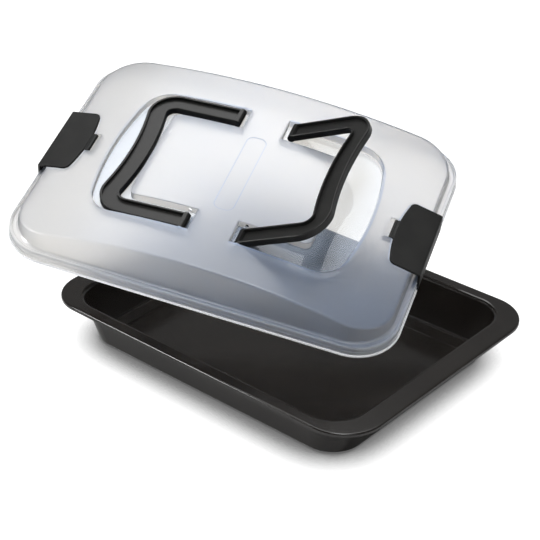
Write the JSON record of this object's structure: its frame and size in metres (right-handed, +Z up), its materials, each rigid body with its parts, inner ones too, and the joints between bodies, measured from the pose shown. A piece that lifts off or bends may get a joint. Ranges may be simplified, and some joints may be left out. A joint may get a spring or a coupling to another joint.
{
  "type": "baking pan with lid",
  "caption": "Oblong baking pan with a flat rim and a frosted carrying lid that has fold-down handles and a hinged latch at each end.",
  "frame": {"origin": "centre of the pan's flat underside, the face it stands on", "axes": "+X along the pan's length, +Y across it, +Z up"},
  "size_m": [0.5169, 0.4113, 0.2138],
  "materials": {
    "pan_coating": "dark non-stick coating, satin",
    "lid_plastic": "frosted translucent",
    "handle_plastic": "black, semi-gloss",
    "latch_plastic": "black, fine satin"
  },
  "bodies": {
    "pan": {"pan": "pan_coating"},
    "lid": {"lid": "lid_plastic"},
    "handle_left": {"handle_left": "handle_plastic"},
    "handle_right": {"handle_right": "handle_plastic"},
    "latch_left": {"latch_left": "latch_plastic"},
    "latch_right": {"latch_right": "latch_plastic"}
  },
  "joints": [
    {"name": "lid_lift", "type": "slide", "parent": "pan", "child": "lid", "axis": [0, 0, 1], "range_m": [0, 0.12]},
    {"name": "handle_left_hinge", "type": "hinge", "parent": "lid", "child": "handle_left", "pos_m": [-0.10479, 0.00402, 0.16709], "axis": [-0.3509, 0.898, 0.2653], "range_deg": [0, 98]},
    {"name": "handle_right_hinge", "type": "hinge", "parent": "lid", "child": "handle_right", "pos_m": [-0.05051, 0.02791, 0.15799], "axis": [0.3509, -0.898, -0.2653], "range_deg": [-33.5, 64.5]},
    {"name": "latch_left_hinge", "type": "hinge", "parent": "lid", "child": "latch_left", "pos_m": [-0.22997, -0.04695, 0.17406], "axis": [-0.3509, 0.898, 0.2653], "range_deg": [0, 90]},
    {"name": "latch_right_hinge", "type": "hinge", "parent": "lid", "child": "latch_right", "pos_m": [0.06783, 0.08416, 0.12411], "axis": [0.3509, -0.898, -0.2653], "range_deg": [0, 90]}
  ]
}
